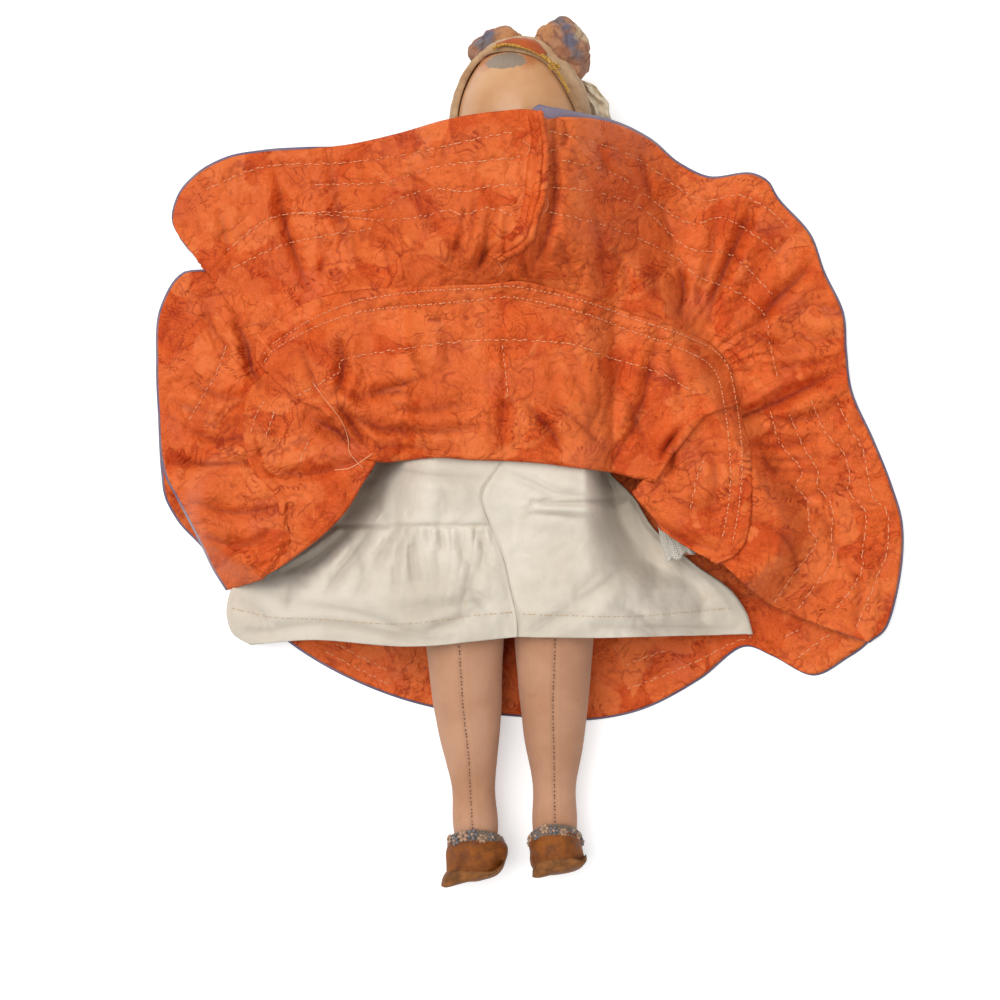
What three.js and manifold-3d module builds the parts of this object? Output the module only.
// A cloth-bodied folk costume doll on its back, its skirt turned up over the torso and the face.
// Millimetres. +X is the viewer's right, +Y points to the head, +Z points up from the table.
import * as THREE from 'three';
import { mergeVertices } from 'three/addons/utils/BufferGeometryUtils.js';
import Module from 'manifold-3d';

const wasm = await Module();
wasm.setup();

// Driving dimensions
const GAP = 0.3;
const VIEW_WIDTH = 385;
const VIEW_HEIGHT = 640;
const CLOTH = 0.9;
const LINING = 1.2;
const COVER_WALL = 1;
const WELD = GAP / 1000;

const TORSO_LENGTH = 88;
const TORSO_HALF_WIDTH = 31;
const TORSO_DEPTH = 34;
const NECK_RADIUS = 8.7;
const NECK_HEIGHT = 22;
const NECK_LENGTH = 14;
const FLANGE_RADIUS = 10.4;
const FLANGE_THICKNESS = 2;
const TIE_RADIUS = 0.8;

const HEAD_HALF_WIDTH = 23;
const HEAD_HALF_LENGTH = 33;
const HEAD_HALF_DEPTH = 25;
const HEAD_HEIGHT = 27.3;
const HEAD_SIDE = 4.2;
const TURN_ROOM = 2.4;
const HEAD_WALL = 2.5;
const SCARF_WALL = 1.7;
const SCARF_RIM_HEIGHT = 8;
const TRIM_RADIUS = 1.1;
const BAND_WIDTH = 3.4;
const BAND_THICKNESS = 1.6;
const LARGE_PUFF_RADIUS = 11.5;
const SMALL_PUFF_RADIUS = 8.4;
const LARGE_PUFF_RISE = 5;
const SMALL_PUFF_RISE = 1.1;
const TAIL_LENGTH = 17;
const TAIL_WIDTH = 13;

const ARM_LENGTH = 88;
const ARM_RADIUS = 6.6;
const HAND_LENGTH = 12;
const SLEEVE_RADIUS = 8.6;
const WRIST_LENGTH = 10;
const CUFF_RADIUS = 9.6;
const CUFF_LENGTH = 22;
const ARM_HEIGHT = 16;
const SHOULDER_DROP = 4;
const RIGHT_ARM = { sign: -1, spread: THREE.MathUtils.degToRad(32), inward: 6, outward: 8 };
const LEFT_ARM = { sign: 1, spread: THREE.MathUtils.degToRad(20), inward: 4, outward: 10 };

const LEG_LENGTH = 124;
const LEG_HALF_WIDTH = 15.2;
const LEG_DEPTH = 29;
const LEG_SPACING = 16.6;
const FOOT_LENGTH = 23;
const SHOE_HALF_WIDTH = 10.6;
const SHOE_HEIGHT = 8.4;
const SHOE_WALL = 1;
const SOLE_THICKNESS = 3.6;
const FOOT_POINT = THREE.MathUtils.degToRad(35);
const BRAID_HEIGHT = 4.6;
const BRAID_THICKNESS = 1.2;

const WAISTBAND_WIDTH = 6;
const WAISTBAND_THICKNESS = 1;
const YOKE_LENGTH = 24;
const HIP_RISE = 2.4;
const ALLOWANCE_WIDTH = 9;
const ALLOWANCE_RISE = 0.9;

// Heights of the layers that lie between the table and the body
const liningRest = CLOTH + GAP;
const drawersRest = liningRest + LINING + GAP;
const bodyRest = drawersRest + CLOTH + GAP;
const bodyFront = bodyRest + TORSO_DEPTH;
const legFront = bodyRest + LEG_DEPTH;
const frontLiningLift = CLOTH + 2 * GAP;
const sleeveLength = ARM_LENGTH - WRIST_LENGTH;
const neckStart = TORSO_LENGTH;
const chinPlace = neckStart + NECK_LENGTH;
const headPlace = chinPlace + HEAD_HALF_LENGTH;

// Places read in the photograph, in its own pixels, and the height at which each one lies
const VIEW_CENTRE_PX = [509.5, 500];
const VIEW_PIXELS = 1000;

function fromPhoto([px, py], height) {
  const scale = VIEW_WIDTH / VIEW_PIXELS * (VIEW_HEIGHT - height) / VIEW_HEIGHT;
  return new THREE.Vector2((px - VIEW_CENTRE_PX[0]) * scale, (VIEW_CENTRE_PX[1] - py) * scale);
}

// Front sheet of the skirt: fold below the waist, seam between the tiers, hem
const frontColumnsPx = [
  { fold: [362, 490], seam: [290, 520], hem: [206, 548] },
  { fold: [354, 476], seam: [268, 460], hem: [172, 480] },
  { fold: [348, 464], seam: [260, 405], hem: [164, 390] },
  { fold: [345, 455], seam: [264, 355], hem: [163, 290] },
  { fold: [356, 456], seam: [275, 340], hem: [172, 205] },
  { fold: [370, 456], seam: [295, 330], hem: [225, 160] },
  { fold: [395, 456], seam: [338, 307], hem: [290, 150] },
  { fold: [425, 456], seam: [394, 293], hem: [380, 137] },
  { fold: [460, 456], seam: [440, 289], hem: [450, 118] },
  { fold: [495, 456], seam: [489, 287], hem: [500, 110] },
  { fold: [520, 456], seam: [525, 288], hem: [548, 108] },
  { fold: [545, 457], seam: [560, 294], hem: [612, 121] },
  { fold: [565, 458], seam: [600, 308], hem: [655, 145] },
  { fold: [580, 460], seam: [640, 321], hem: [698, 178] },
  { fold: [592, 462], seam: [685, 338], hem: [764, 176] },
  { fold: [602, 465], seam: [715, 355], hem: [812, 242] },
  { fold: [610, 470], seam: [732, 392], hem: [843, 330] },
  { fold: [617, 475], seam: [740, 440], hem: [860, 408] },
  { fold: [623, 480], seam: [742, 480], hem: [893, 492] },
  { fold: [628, 484], seam: [738, 512], hem: [902, 555] },
  { fold: [631, 487], seam: [733, 540], hem: [880, 640] },
];

// Back sheet, flat on the table under the legs
const backHemPx = [
  [205, 546], [231, 585], [296, 643], [362, 681], [427, 703], [510, 713],
  [600, 716], [646, 705], [700, 676], [748, 640], [812, 673], [866, 642],
];
const backSeamPx = [
  [735, 545], [690, 610], [600, 650], [500, 660], [400, 648], [320, 600], [285, 540],
];
const backWaistPx = [[440, 425], [420, 440], [430, 460], [510, 466], [590, 460], [600, 445]];
const allowancePx = [[538, 108], [541, 160], [536, 205], [521, 250]];

// Sides of the drawers from the waist down to the hem
const drawersSidesPx = [
  { at: 436, left: 392, right: 588 },
  { at: 465, left: 369, right: 606 },
  { at: 499, left: 351, right: 636 },
  { at: 524, left: 335, right: 650 },
  { at: 561, left: 284, right: 690 },
  { at: 590, left: 234, right: 726 },
  { at: 628, left: 227, right: 746 },
  { at: 642, left: 243, right: 747 },
];

// Stations of the stuffed parts: place along the part, half width, back and front as shares
const torsoShares = [
  { along: 0.02, width: 0.62, back: 0.2, front: 0.8 },
  { along: 0.07, width: 0.9, back: 0.04, front: 0.95 },
  { along: 0.16, width: 1, back: 0, front: 1 },
  { along: 0.34, width: 0.86, back: 0.02, front: 0.94 },
  { along: 0.58, width: 0.85, back: 0.01, front: 0.98 },
  { along: 0.82, width: 0.87, back: 0, front: 1 },
  { along: 0.98, width: 0.8, back: 0.03, front: 0.95 },
];
const neckShares = [
  { along: 0.36, width: 0.6 * TORSO_HALF_WIDTH, depth: 0.38 * TORSO_DEPTH },
  { along: 0.6, width: NECK_RADIUS + GAP, depth: NECK_RADIUS + GAP },
  { along: 0.86, width: NECK_RADIUS + GAP, depth: NECK_RADIUS + GAP },
];
const tieShare = 0.72;
const legShares = [
  { along: 1, width: 0.56, back: 0.03, front: 0.62, lean: 0.72 },
  { along: 0.88, width: 0.54, back: 0.03, front: 0.62, lean: 0.78 },
  { along: 0.72, width: 0.79, back: 0.02, front: 0.8, lean: 0.88 },
  { along: 0.5, width: 0.95, back: 0, front: 0.94, lean: 1 },
  { along: 0.2, width: 1, back: 0, front: 1, lean: 1 },
  { along: 0.04, width: 0.96, back: 0.02, front: 0.98, lean: 1 },
  { along: 0.006, width: 0.72, back: 0.2, front: 0.84, lean: 1 },
];
// How much of that lean each leg takes on the table: the left one lies almost straight
const legLeanShares = { right: 1, left: -0.1 };
const armShares = [
  { along: -0.06, width: 0.35 },
  { along: 0, width: 0.95 },
  { along: 0.1, width: 1 },
  { along: 0.5, width: 0.92 },
  { along: 0.9, width: 0.72 },
  { along: 1, width: 0.66 },
];
const handShares = [[0, 0.56], [0.3, 0.7], [0.7, 0.64], [1, 0.3]];
const handFlatness = 0.6;
const sleeveShares = [0.01, 0.5, 1];
const torsoSideShare = 0.975;
const footShares = [
  { along: 0.3, width: 0.5, rise: 0.4 },
  { along: 0.18, width: 0.76, rise: 0.62 },
  { along: 0, width: 0.86, rise: 0.9 },
  { along: -0.3, width: 1, rise: 0.96 },
  { along: -0.54, width: 0.92, rise: 0.7 },
  { along: -0.68, width: 0.55, rise: 0.42 },
];
const innerFootShare = 0.9;
const footShare = 0.86;
const shoeMouth = { width: 0.62, height: 1.4 };
const shoeSeatShare = 0.1;
const shoeWaistShare = 0.35;
// Curves of the sole's outline: two guides and an end, across and along, as shares
const soleShares = [
  [[-1, 0.33], [-0.8, 0], [-1, -0.324]],
  [[-1.05, -0.576], [-0.6, -0.72], [0, -0.72]],
  [[0.6, -0.72], [1.05, -0.576], [1, -0.324]],
  [[0.8, 0], [1, 0.33], [0, 0.33]],
];
// Ends of the trims over the crown, as shares of the half turn from temple to temple
const trimEnds = [0.016, 0.984];
const bandEnds = [0.36, 0.6];
const bandSeatShare = 0.75;
const largePuffShares = [0.7, 0.93];
const smallPuffShares = [-0.27, 1.08];
const smallPuffSizes = [1, 0.7, 0.8].map((share) => share * SMALL_PUFF_RADIUS);
const puffRoomShare = 1.3;
const tailShares = { aside: 0.25, along: 0.78, depth: 0.6 };
// Where cloth over a part starts to fall and where it reaches the table, in half widths of the part
const bodyFall = { crown: 0.8, edge: 1.9 };
const headFall = { crown: 0.5, edge: 2.9 };
const armFall = { crown: 1.5, edge: 3.4 };
const drawersFall = { crown: 0.9, edge: 1.25 };
const napeShare = 0.6;
const SIDES = 16;
const TIE_SIDES = [5, 22];
const TRIM_SIDES = 8;
const TRIM_STEPS = 20;
const BAND_STEPS = 12;
const SOLE_STEPS = 6;
const HEM_STEPS = 8;
const SPHERE_STEPS = [18, 12];
const UPPER_ROWS = 4;
const LOWER_ROWS = 5;

function material(color, roughness) {
  return new THREE.MeshStandardMaterial({ color, roughness, metalness: 0 });
}

const damask = material(0xd2602f, 0.55);
const slate = material(0x726780, 0.6);
const ivory = material(0xe3d9c6, 0.9);
const flesh = material(0xc79473, 0.9);
const paint = material(0xdcae82, 0.35);
const leather = material(0x7d481e, 0.5);
const tan = material(0x96643c, 0.6);
const braid = material(0xa9a79a, 0.9);
const scarfCloth = material(0xc3a882, 0.85);
const gold = material(0xc79a3a, 0.5);
const rust = material(0xb4602c, 0.8);
const mottled = material(0xa88a78, 0.9);
const gauze = material(0xd8cdb6, 0.9);
const kapok = material(0xe8dfcc, 1);
const string = material(0xd8c8a8, 0.9);

function piece(name, geometry, surface) {
  const mesh = new THREE.Mesh(geometry, surface);
  mesh.name = name;
  return mesh;
}

// Closed geometry with its faces out, whichever way round its sections were given
function facedOut(geometry) {
  const bare = new THREE.BufferGeometry();
  bare.setAttribute('position', geometry.attributes.position);
  bare.setIndex(geometry.index);
  const merged = mergeVertices(bare, WELD);
  const place = merged.attributes.position;
  const index = merged.index.array;
  const corners = [new THREE.Vector3(), new THREE.Vector3(), new THREE.Vector3()];
  const faces = [];
  let volume = 0;
  for (let i = 0; i < index.length; i += 3) {
    const [a, b, c] = index.subarray(i, i + 3);
    if (a === b || b === c || c === a) continue;
    faces.push([a, b, c]);
    [a, b, c].forEach((vertex, k) => corners[k].fromBufferAttribute(place, vertex));
    volume += corners[0].dot(corners[1].cross(corners[2]));
  }
  merged.setIndex(faces.flatMap(([a, b, c]) => (volume > 0 ? [a, b, c] : [a, c, b])));
  merged.computeVertexNormals();
  return merged;
}

// Triangles that fill one section, wound the way its points run
function fillOf(section) {
  const across = section[Math.floor(section.length / 2)].clone().sub(section[0]).normalize();
  const normal = new THREE.Vector3();
  section.forEach((point, i) => {
    const next = section[(i + 1) % section.length];
    normal.add(point.clone().sub(section[0]).cross(next.clone().sub(section[0])));
  });
  const up = normal.clone().normalize().cross(across);
  const contour = section.map((point) => new THREE.Vector2(point.dot(across), point.dot(up)));
  return THREE.ShapeUtils.triangulateShape(contour, []);
}

// Skin through sections with equally many points: with an end cap on both ends, or run into a ring
function skin(sections, ends) {
  const count = sections[0].length;
  const points = sections.flat();
  const apart = (i, j) => points[i].distanceTo(points[j]);
  const index = [];
  const rows = ends ? sections.length - 1 : sections.length;
  for (let row = 0; row < rows; row++) {
    const next = (row + 1) % sections.length;
    for (let i = 0; i < count; i++) {
      const j = (i + 1) % count;
      const [a, b, c, d] = [row * count + i, row * count + j, next * count + j, next * count + i];
      index.push(...(apart(b, d) < apart(a, c) - WELD ? [a, b, d, b, c, d] : [a, b, c, a, c, d]));
    }
  }
  if (ends) {
    const last = (sections.length - 1) * count;
    fillOf(sections[0]).forEach(([a, b, c]) => index.push(a, c, b));
    fillOf(sections.at(-1)).forEach(([a, b, c]) => index.push(last + a, last + b, last + c));
  }
  const geometry = new THREE.BufferGeometry().setFromPoints(points);
  geometry.setIndex(index);
  return facedOut(geometry);
}

function capped(sections) {
  return skin(sections, true);
}

// Tube open at both ends, with a wall
function walled(outer, inner) {
  return skin([...outer, ...inner.toReversed()], false);
}

// Bag with a wall, closed at its first section and open at its last
function bag(outer, inner) {
  return skin([...outer, ...inner.toReversed()], true);
}

function toManifold(geometry) {
  const { attributes, index } = facedOut(geometry);
  const vertProperties = new Float32Array(attributes.position.array);
  const triVerts = new Uint32Array(index.array);
  return new wasm.Manifold(new wasm.Mesh({ numProp: 3, vertProperties, triVerts }));
}

function fromManifold(solid) {
  const { vertProperties, triVerts } = solid.getMesh();
  const geometry = new THREE.BufferGeometry();
  geometry.setAttribute('position', new THREE.Float32BufferAttribute(vertProperties, 3));
  geometry.setIndex([...triVerts]);
  return facedOut(geometry);
}

// Ring across the Y axis
function ring(y, x, z, halfWidth, halfDepth) {
  return Array.from({ length: SIDES }, (_, i) => {
    const angle = (i / SIDES) * 2 * Math.PI;
    return new THREE.Vector3(x - halfWidth * Math.cos(angle), y, z + halfDepth * Math.sin(angle));
  });
}

function ringsOf(stations, grow) {
  return stations.map(({ y, x, z, width, depth }) => ring(y, x, z, width + grow, depth + grow));
}

function ellipsoid([x, y, z], width, length, depth) {
  const geometry = new THREE.SphereGeometry(1, ...SPHERE_STEPS);
  geometry.scale(width, length, depth);
  geometry.translate(x, y, z);
  return geometry;
}

// Rod along the Y axis
function rod([x, y, z], radius, from, to) {
  const geometry = new THREE.CylinderGeometry(radius, radius, to - from, SIDES);
  geometry.translate(x, y + (from + to) / 2, z);
  return geometry;
}

function block(width, length, depth, [x, y, z]) {
  const geometry = new THREE.BoxGeometry(width, length, depth);
  geometry.translate(x, y, z);
  return geometry;
}

// Torso

const shoulderEnd = torsoShares.at(-1).along * TORSO_LENGTH;
const neckStations = neckShares.map(({ along, width, depth }) => (
  { y: neckStart + along * NECK_LENGTH, x: 0, z: NECK_HEIGHT, width, depth }));

const torsoStations = torsoShares.map(({ along, width, back, front }) => ({
  y: along * TORSO_LENGTH,
  x: 0,
  z: bodyRest + (back + front) / 2 * TORSO_DEPTH,
  width: width * TORSO_HALF_WIDTH,
  depth: (front - back) / 2 * TORSO_DEPTH,
}));

const waistPlace = torsoStations[3].y;

function torso() {
  const neckOuter = neckStations.map((s) => ring(s.y, s.x, s.z, s.width + COVER_WALL, s.depth + COVER_WALL));
  const neckInner = neckStations.map((s) => ring(s.y, s.x, s.z, s.width, s.depth));
  const cover = bag(
    [...ringsOf(torsoStations, 0), ...neckOuter],
    [...insideRings(torsoStations, COVER_WALL), ...neckInner],
  );
  const stuffing = capped(insideRings(torsoStations, COVER_WALL + GAP).slice(0, -1));
  return [piece('torso_cover', cover, flesh), piece('torso_stuffing', stuffing, kapok)];
}

// Rings inside a closed end: smaller by the inset, and the first one drawn in along Y as well
function insideRings(stations, inset) {
  const first = stations[0];
  const step = Math.sign(stations[1].y - first.y) * inset;
  return stations.map((s, i) => ring(i ? s.y : s.y + step, s.x, s.z, s.width - inset, s.depth - inset));
}

function neckTie() {
  const radius = NECK_RADIUS + GAP + COVER_WALL + GAP + TIE_RADIUS;
  const tie = new THREE.TorusGeometry(radius, TIE_RADIUS, ...TIE_SIDES);
  tie.rotateX(Math.PI / 2);
  tie.translate(0, neckStart + NECK_LENGTH * tieShare, NECK_HEIGHT);
  return piece('neck_tie', facedOut(tie), string);
}

function blouse() {
  const stations = torsoStations.slice(3);
  const shell = walled(ringsOf(stations, GAP + CLOTH), ringsOf(stations, GAP));
  const armhole = new THREE.CylinderGeometry(SLEEVE_RADIUS, SLEEVE_RADIUS, 4 * TORSO_HALF_WIDTH, SIDES);
  armhole.rotateZ(Math.PI / 2);
  armhole.translate(0, shoulderY, ARM_HEIGHT);
  return piece('blouse_bodice', fromManifold(toManifold(shell).subtract(toManifold(armhole))), ivory);
}

// Head

const headCentre = [HEAD_SIDE, headPlace, HEAD_HEIGHT];
const scarfGrow = GAP + SCARF_WALL;
const neckAxis = [0, 0, NECK_HEIGHT];

function scarfBody(grow) {
  return ellipsoid(
    headCentre,
    HEAD_HALF_WIDTH + scarfGrow + grow,
    HEAD_HALF_LENGTH + scarfGrow + grow,
    HEAD_HALF_DEPTH + scarfGrow + grow,
  );
}

function headShell() {
  const inner = [HEAD_HALF_WIDTH, HEAD_HALF_LENGTH, HEAD_HALF_DEPTH].map((size) => size - HEAD_WALL);
  const flangeFrom = shoulderEnd + GAP;
  const solid = toManifold(ellipsoid(headCentre, HEAD_HALF_WIDTH, HEAD_HALF_LENGTH, HEAD_HALF_DEPTH))
    .add(toManifold(rod(neckAxis, NECK_RADIUS, flangeFrom, headPlace - HEAD_HALF_LENGTH / 2)))
    .add(toManifold(rod(neckAxis, FLANGE_RADIUS, flangeFrom, flangeFrom + FLANGE_THICKNESS)))
    .subtract(toManifold(ellipsoid(headCentre, ...inner)))
    .subtract(toManifold(rod(neckAxis, NECK_RADIUS - HEAD_WALL, flangeFrom - GAP, headPlace)));
  return piece('head_shell', fromManifold(solid), paint);
}

function headscarf() {
  const open = 4 * HEAD_HALF_LENGTH;
  const hollow = [HEAD_HALF_WIDTH, HEAD_HALF_LENGTH, HEAD_HALF_DEPTH].map((size) => size + GAP);
  const face = block(open, open, open, [0, headPlace, HEAD_HEIGHT + SCARF_RIM_HEIGHT + open / 2]);
  const throat = NECK_RADIUS + COVER_WALL + 2 * GAP + 2 * TIE_RADIUS;
  const solid = toManifold(scarfBody(0))
    .subtract(toManifold(ellipsoid(headCentre, ...hollow)))
    .subtract(toManifold(face))
    .subtract(toManifold(rod(neckAxis, throat, neckStart, headPlace)));
  return piece('headscarf', fromManifold(solid), scarfCloth);
}

// Half ring over the crown, from one temple to the other
function crownArc(halfWidth, halfLength, height, [from, to]) {
  const points = [];
  for (let i = 0; i <= SIDES; i++) {
    const angle = Math.PI * THREE.MathUtils.lerp(from, to, i / SIDES);
    const across = HEAD_SIDE + halfWidth * Math.cos(angle);
    points.push(new THREE.Vector3(across, headPlace + halfLength * Math.sin(angle), HEAD_HEIGHT + height));
  }
  return new THREE.CatmullRomCurve3(points);
}

function alongCurve(halfAcross, halfUp, path, steps) {
  const section = new THREE.Shape(Array.from({ length: TRIM_SIDES }, (_, i) => {
    const angle = (i / TRIM_SIDES) * 2 * Math.PI;
    return new THREE.Vector2(halfUp * Math.cos(angle), halfAcross * Math.sin(angle));
  }));
  return facedOut(new THREE.ExtrudeGeometry(section, { steps, extrudePath: path, bevelEnabled: false }));
}

function scarfTrim() {
  const height = SCARF_RIM_HEIGHT + TRIM_RADIUS + GAP;
  const share = Math.sqrt(1 - (SCARF_RIM_HEIGHT / HEAD_HALF_DEPTH) ** 2);
  const seat = SCARF_WALL / 2 + GAP + TRIM_RADIUS / 2;
  const path = crownArc(HEAD_HALF_WIDTH * share + seat, HEAD_HALF_LENGTH * share + seat, height, trimEnds);
  return piece('scarf_gold_trim', alongCurve(TRIM_RADIUS, TRIM_RADIUS, path, TRIM_STEPS), gold);
}

function scarfBand() {
  const height = SCARF_RIM_HEIGHT - BAND_WIDTH / 2 - GAP;
  const share = Math.sqrt(1 - (height / (HEAD_HALF_DEPTH + scarfGrow)) ** 2);
  const seat = scarfGrow + GAP + BAND_THICKNESS * bandSeatShare;
  const path = crownArc(HEAD_HALF_WIDTH * share + seat, HEAD_HALF_LENGTH * share + seat, height, bandEnds);
  return piece('scarf_rust_band', alongCurve(BAND_THICKNESS / 2, BAND_WIDTH / 2, path, BAND_STEPS), rust);
}

function puffBody([across, along], rise, sizes) {
  const [x, y] = [HEAD_SIDE + HEAD_HALF_WIDTH * across, headPlace + HEAD_HALF_LENGTH * along];
  return ellipsoid([x, y, HEAD_HEIGHT + rise], ...sizes);
}

function puff(name, shares, rise, sizes) {
  const bandRoom = 3 * GAP + BAND_THICKNESS * puffRoomShare;
  const solid = toManifold(puffBody(shares, rise, sizes)).subtract(toManifold(scarfBody(bandRoom)));
  return piece(name, fromManifold(solid), mottled);
}

function scarfTail() {
  const across = HEAD_SIDE + HEAD_HALF_WIDTH + scarfGrow + TAIL_WIDTH * tailShares.aside;
  const centre = [across, headPlace + TAIL_LENGTH * tailShares.along, HEAD_HEIGHT - TRIM_RADIUS];
  const depth = TAIL_WIDTH * tailShares.depth;
  const solid = toManifold(ellipsoid(centre, TAIL_WIDTH / 2, TAIL_LENGTH / 2, depth))
    .subtract(toManifold(puffBody(largePuffShares, LARGE_PUFF_RISE, Array(3).fill(LARGE_PUFF_RADIUS + GAP))))
    .subtract(toManifold(scarfBody(GAP)));
  return piece('scarf_gauze_tail', fromManifold(solid), gauze);
}

// Arms

const shoulderY = shoulderEnd - SLEEVE_RADIUS - SHOULDER_DROP;

// Distance of one shoulder from the middle: at its inward limit the sleeve just clears the torso
function shoulderX({ spread, inward }) {
  const angle = spread - THREE.MathUtils.degToRad(inward);
  const start = sleeveShares[0] * sleeveLength;
  const side = torsoAt(shoulderY).width * torsoSideShare;
  return side + SLEEVE_RADIUS * Math.cos(angle) - start * Math.sin(angle);
}

function arm(side, hang) {
  const { sign, spread } = hang;
  const limb = new THREE.Group();
  const stations = armShares.map(({ along, width }) => (
    { y: -along * ARM_LENGTH, x: 0, z: 0, width: width * ARM_RADIUS, depth: width * ARM_RADIUS }));
  const upToWrist = stations.toReversed();
  const cover = bag(ringsOf(upToWrist, 0), insideRings(upToWrist, COVER_WALL));
  const stuffing = capped(insideRings(upToWrist, COVER_WALL + GAP).slice(0, -1));
  const hand = capped(handShares.map(([along, width]) => ring(
    -ARM_LENGTH - GAP - along * HAND_LENGTH, 0, 0, width * ARM_RADIUS, width * ARM_RADIUS * handFlatness)));
  const sleeveStations = sleeveShares.map((along) => ({ y: -along * sleeveLength, x: 0, z: 0,
    width: SLEEVE_RADIUS - CLOTH, depth: SLEEVE_RADIUS - CLOTH }));
  const sleeve = walled(ringsOf(sleeveStations, CLOTH), ringsOf(sleeveStations, 0));
  const cuffFrom = -sleeveLength - GAP;
  const cuffInner = ARM_RADIUS * armShares[4].width + GAP;
  const cuffStations = [0, 0.5, 1].map((along) => ({
    y: cuffFrom - along * CUFF_LENGTH, x: 0, z: 0, width: cuffInner, depth: cuffInner }));
  const cuffOuter = cuffStations.map((s, i) => {
    const radius = THREE.MathUtils.lerp(cuffInner + 2 * CLOTH, CUFF_RADIUS, i / 2);
    return ring(s.y, 0, 0, radius, radius);
  });
  const cuff = walled(cuffOuter, cuffStations.map((s) => ring(s.y, 0, 0, s.width, s.depth)));
  limb.add(
    piece(`arm_cover_${side}`, cover, flesh),
    piece(`arm_stuffing_${side}`, stuffing, kapok),
    piece(`hand_${side}`, hand, flesh),
    piece(`sleeve_${side}`, sleeve, ivory),
    piece(`lace_cuff_${side}`, cuff, gauze),
  );
  limb.position.set(sign * shoulderX(hang), shoulderY, ARM_HEIGHT);
  limb.rotation.z = sign * spread;
  return limb;
}

// Legs and shoes

function legStations(side, sign) {
  return legShares.map(({ along, width, back, front, lean }) => ({
    y: -along * LEG_LENGTH,
    x: sign * LEG_SPACING * THREE.MathUtils.lerp(1, lean, legLeanShares[side]),
    z: bodyRest + (back + front) / 2 * LEG_DEPTH,
    width: width * LEG_HALF_WIDTH,
    depth: (front - back) / 2 * LEG_DEPTH,
  }));
}

function leg(side, sign) {
  const stations = legStations(side, sign);
  const cover = bag(ringsOf(stations, 0), insideRings(stations, COVER_WALL));
  const stuffing = capped(insideRings(stations, COVER_WALL + GAP).slice(0, -1));
  const ankle = stations[0];
  const braidStations = [0, 1].map((share) => ({ ...ankle, y: ankle.y + share * BRAID_HEIGHT }));
  const band = walled(ringsOf(braidStations, GAP + BRAID_THICKNESS), ringsOf(braidStations, GAP));
  return [
    piece(`leg_cover_${side}`, cover, flesh),
    piece(`leg_stuffing_${side}`, stuffing, kapok),
    piece(`shoe_braid_${side}`, band, braid),
    shoe(side, ankle),
  ];
}

// Shoe in its own frame: toe to -Y, sole down; then pointed as the foot hangs
function shoe(side, ankle) {
  const group = new THREE.Group();
  const halfWidth = SHOE_HALF_WIDTH - SHOE_WALL / 2;
  const form = (length, inset) => capped(footShares.map(({ along, width, rise }) => (
    shoeRing(along * length, width * halfWidth, rise * SHOE_HEIGHT, inset))));
  const mouthRadius = ankle.width * shoeMouth.width;
  const mouth = new THREE.CylinderGeometry(mouthRadius, mouthRadius, 2 * SHOE_HEIGHT, SIDES);
  mouth.rotateX(Math.PI / 2 - FOOT_POINT);
  mouth.translate(0, 0, SOLE_THICKNESS + GAP + shoeMouth.height * SHOE_HEIGHT);
  const upper = toManifold(form(FOOT_LENGTH, 0))
    .subtract(toManifold(form(FOOT_LENGTH * innerFootShare, SHOE_WALL)))
    .subtract(toManifold(mouth));
  const foot = form(FOOT_LENGTH * footShare, SHOE_WALL + GAP);
  group.add(
    piece(`shoe_upper_${side}`, fromManifold(upper), leather),
    piece(`foot_${side}`, foot, flesh),
    piece(`shoe_sole_${side}`, soleGeometry(), tan),
  );
  const top = SOLE_THICKNESS + GAP + SHOE_HEIGHT + GAP;
  group.position.set(
    ankle.x,
    ankle.y - top * Math.cos(FOOT_POINT) - GAP,
    ankle.z - top * Math.sin(FOOT_POINT) + ankle.depth * shoeSeatShare,
  );
  group.rotation.x = FOOT_POINT - Math.PI / 2;
  return group;
}

function shoeRing(y, halfWidth, height, inset) {
  const base = SOLE_THICKNESS + GAP + inset;
  return Array.from({ length: SIDES }, (_, i) => {
    const angle = (i / SIDES) * 2 * Math.PI;
    const x = -(halfWidth - inset) * Math.cos(angle);
    const up = Math.sin(angle);
    const rise = shoeWaistShare * (1 + Math.min(up, 0)) + (1 - shoeWaistShare) * Math.max(up, 0);
    return new THREE.Vector3(x, y, base + rise * (height - 2 * inset));
  });
}

function soleGeometry() {
  const outline = new THREE.Shape();
  const at = ([across, along]) => [across * SHOE_HALF_WIDTH, along * FOOT_LENGTH];
  outline.moveTo(...at(soleShares.at(-1).at(-1)));
  soleShares.forEach((curve) => outline.bezierCurveTo(...curve.flatMap(at)));
  return facedOut(new THREE.ExtrudeGeometry(outline,
    { depth: SOLE_THICKNESS, bevelEnabled: false, curveSegments: SOLE_STEPS }));
}

// Drawers

// Height of cloth laid over a body that is flat to `crown` and falls to the edge
function fall(across, crown, edge, top, low) {
  const share = THREE.MathUtils.smoothstep(Math.abs(across), crown, edge);
  return THREE.MathUtils.lerp(top, low, share);
}

// Flattened tube of cloth: over the body, round its side edge and back under it
function garmentSection(y, left, right, topHeight, low, inset) {
  const points = [];
  for (let i = 0; i <= HEM_STEPS; i++) {
    const x = THREE.MathUtils.lerp(left + inset, right - inset, i / HEM_STEPS);
    points.push(new THREE.Vector3(x, y, Math.max(topHeight(x) - inset, low + 2 * CLOTH - inset)));
  }
  for (let i = HEM_STEPS; i >= 0; i--) {
    const x = THREE.MathUtils.lerp(left + inset, right - inset, i / HEM_STEPS);
    points.push(new THREE.Vector3(x, y, low + inset));
  }
  return points;
}

const drawersStations = drawersSidesPx.map(({ at, left, right }) => {
  const low = fromPhoto([left, at], 2 * drawersRest);
  const high = fromPhoto([right, at], 2 * drawersRest);
  const least = TORSO_HALF_WIDTH * drawersFall.edge;
  return { y: low.y, left: Math.min(low.x, -least), right: Math.max(high.x, least) };
});

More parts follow.
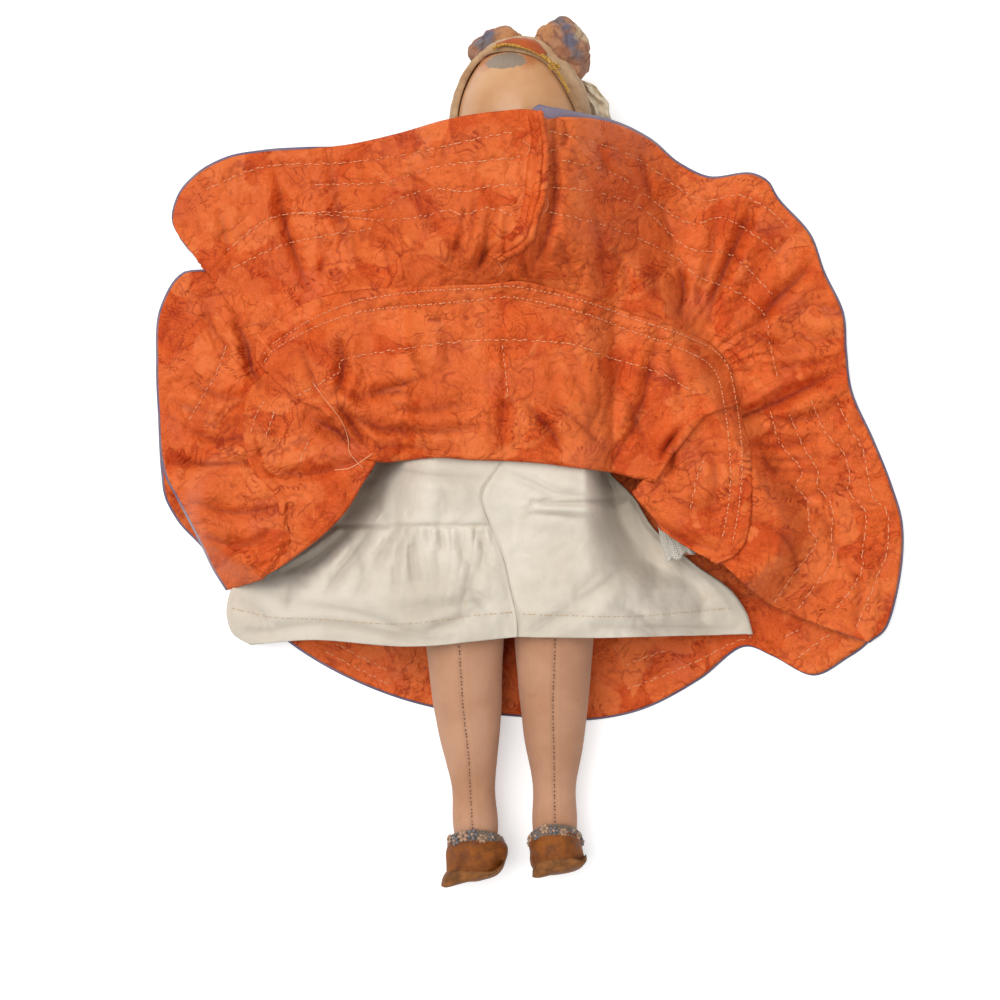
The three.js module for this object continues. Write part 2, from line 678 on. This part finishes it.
function drawersTop(station, front) {
  const crown = TORSO_HALF_WIDTH * drawersFall.crown;
  return (x) => fall(x, crown, x < 0 ? -station.left : station.right, front, drawersRest + 2 * CLOTH);
}

function drawersYoke() {
  const rows = drawersStations.filter(({ y }) => y > GAP && y < YOKE_LENGTH + GAP);
  const front = bodyFront + GAP + CLOTH;
  const build = (inset) => rows.map((s) => garmentSection(
    s.y, s.left, s.right, drawersTop(s, front), drawersRest, inset));
  return piece('drawers_yoke', walled(build(0), build(CLOTH)), ivory);
}

function drawersLeg(side, sign) {
  const hip = { ...drawersStations[2], y: -GAP };
  const rows = [hip, ...drawersStations.filter(({ y }) => y < -HIP_RISE)];
  const build = (inset) => rows.map((s) => garmentSection(
    s.y,
    sign < 0 ? s.left : GAP,
    sign < 0 ? -GAP : s.right,
    drawersTop(s, legFront + GAP + CLOTH + HIP_RISE),
    drawersRest,
    inset,
  ));
  return piece(`drawers_leg_${side}`, walled(build(0), build(CLOTH)), ivory);
}

// Torso section at any place along it
function torsoAt(y) {
  const next = torsoStations.findIndex((s) => s.y > y);
  const [low, high] = [torsoStations[next - 1], torsoStations[next]];
  const share = (y - low.y) / (high.y - low.y);
  const between = (key) => THREE.MathUtils.lerp(low[key], high[key], share);
  return { y, x: 0, z: between('z'), width: between('width'), depth: between('depth') };
}

function waistband(name, from, grow, surface) {
  const stations = [torsoAt(from), torsoAt(from + WAISTBAND_WIDTH)];
  return piece(name, walled(ringsOf(stations, grow + WAISTBAND_THICKNESS), ringsOf(stations, grow)), surface);
}

// Skirt

// Height that lets one arm swing under the sheet, falling off beside and beyond its sweep
function overArm(x, y, hang, top, low) {
  const { sign, spread, inward, outward } = hang;
  const [across, down] = [sign * x - shoulderX(hang), shoulderY - y];
  const angle = Math.atan2(across, down);
  const from = spread - THREE.MathUtils.degToRad(inward);
  const to = spread + THREE.MathUtils.degToRad(outward);
  const aside = Math.max(0, angle - to, from - angle);
  const reach = Math.hypot(across, down);
  const beside = reach * Math.sin(Math.min(aside, Math.PI / 2));
  const beyond = Math.max(0, reach - sleeveLength - CUFF_LENGTH);
  return fall(
    Math.hypot(beside, beyond), CUFF_RADIUS * armFall.crown, CUFF_RADIUS * armFall.edge, top, low);
}

// Height of the lower side of the turned-up front sheet
function frontHeight(x, y) {
  const low = liningRest + LINING + 2 * GAP;
  const bodyTop = bodyFront + GAP + CLOTH + 2 * GAP;
  const armTop = ARM_HEIGHT + CUFF_RADIUS + 5 * GAP;
  const headTop = HEAD_HEIGHT + HEAD_HALF_DEPTH + TURN_ROOM + 5 * GAP;
  const nape = shoulderEnd + NECK_LENGTH * napeShare;
  const ends = THREE.MathUtils.smoothstep(y, shoulderEnd - NECK_LENGTH, nape);
  const overPart = (halfWidth, { crown, edge }, top) => (
    fall(x, halfWidth * crown, halfWidth * edge, top, low));
  const bodyHeight = overPart(TORSO_HALF_WIDTH, bodyFall, bodyTop);
  const headHeight = overPart(HEAD_HALF_WIDTH, headFall, headTop);
  return Math.max(
    THREE.MathUtils.lerp(bodyHeight, headHeight, ends),
    overArm(x, y, RIGHT_ARM, armTop, low),
    overArm(x, y, LEFT_ARM, armTop, low),
  );
}

function frontPlace(px) {
  const near = fromPhoto(px, bodyFront / 2);
  return fromPhoto(px, frontHeight(near.x, near.y));
}

// Places along each column of the front sheet, from the fold to the seam and on to the hem
function frontColumns() {
  const between = (start, end, rows) => (
    Array.from({ length: rows }, (_, row) => start.clone().lerp(end, row / rows)));
  return frontColumnsPx.map(({ fold, seam, hem }) => {
    const [foldPlace, seamPlace, hemPlace] = [fold, seam, hem].map(frontPlace);
    const places = [
      ...between(foldPlace, seamPlace, UPPER_ROWS), ...between(seamPlace, hemPlace, LOWER_ROWS), hemPlace];
    return places.map((p) => new THREE.Vector3(p.x, p.y, frontHeight(p.x, p.y)));
  });
}

// Sheet of cloth over columns of places
function sheet(columns, lift, thickness) {
  return capped(columns.map((places) => [
    ...places.map((p) => p.clone().setZ(p.z + lift)),
    ...places.toReversed().map((p) => p.clone().setZ(p.z + lift + thickness)),
  ]));
}

function flatSheet(outline, from, thickness) {
  const shape = new THREE.Shape(outline);
  const layer = new THREE.ExtrudeGeometry(shape, { depth: thickness, bevelEnabled: false });
  layer.translate(0, 0, from);
  return facedOut(layer);
}

function skirt() {
  const columns = frontColumns();
  const upper = columns.map((places) => places.slice(0, UPPER_ROWS + 1));
  const lower = columns.map((places) => {
    const [seam, next] = places.slice(UPPER_ROWS);
    return [seam.clone().lerp(next, 2 * GAP / seam.distanceTo(next)), ...places.slice(UPPER_ROWS + 1)];
  });
  const onTable = (px) => fromPhoto(px, liningRest);
  const hem = backHemPx.map(onTable);
  const seam = backSeamPx.map(onTable);
  const waist = backWaistPx.map(onTable);
  const seamInside = seam.map((p) => p.clone().lerp(waist[2], 2 * GAP / p.distanceTo(waist[2])));
  return [
    piece('skirt_lining_upper_front', sheet(upper, frontLiningLift, LINING), damask),
    piece('skirt_lining_lower_front', sheet(lower, frontLiningLift, LINING), damask),
    piece('skirt_outer_front', sheet(columns, 0, CLOTH), slate),
    piece('skirt_lining_lower_back', flatSheet([...hem, ...seam], liningRest, LINING), damask),
    piece('skirt_lining_upper_back', flatSheet([...seamInside, ...waist], liningRest, LINING), damask),
    piece('skirt_outer_back', flatSheet([...hem, ...waist.toReversed()], 0, CLOTH), slate),
  ];
}

function seamAllowance() {
  const lift = frontLiningLift + LINING + ALLOWANCE_RISE;
  const edges = [0, 1].map((share) => allowancePx.map((px) => {
    const place = frontPlace(px);
    const x = place.x - share * ALLOWANCE_WIDTH;
    return new THREE.Vector3(x, place.y, frontHeight(x, place.y));
  }));
  return piece('skirt_seam_allowance', sheet(edges, lift, CLOTH), damask);
}

const doll = new THREE.Group();
doll.add(
  ...torso(),
  neckTie(),
  blouse(),
  headShell(),
  headscarf(),
  scarfTrim(),
  scarfBand(),
  puff('large_puff', largePuffShares, LARGE_PUFF_RISE, Array(3).fill(LARGE_PUFF_RADIUS)),
  puff('small_puff', smallPuffShares, SMALL_PUFF_RISE, smallPuffSizes),
  scarfTail(),
  arm('right', RIGHT_ARM),
  arm('left', LEFT_ARM),
  ...leg('right', -1),
  ...leg('left', 1),
  drawersYoke(),
  drawersLeg('right', -1),
  drawersLeg('left', 1),
  waistband('drawers_waistband', waistPlace - WAISTBAND_WIDTH - GAP, GAP, ivory),
  waistband('skirt_waistband', waistPlace + GAP, GAP + CLOTH + GAP, slate),
  ...skirt(),
  seamAllowance(),
);

// The origin is under the middle of the doll, on the table
const bounds = new THREE.Box3().setFromObject(doll);
const middle = bounds.getCenter(new THREE.Vector3());
doll.position.set(-middle.x, -middle.y, -bounds.min.z);

export default doll;
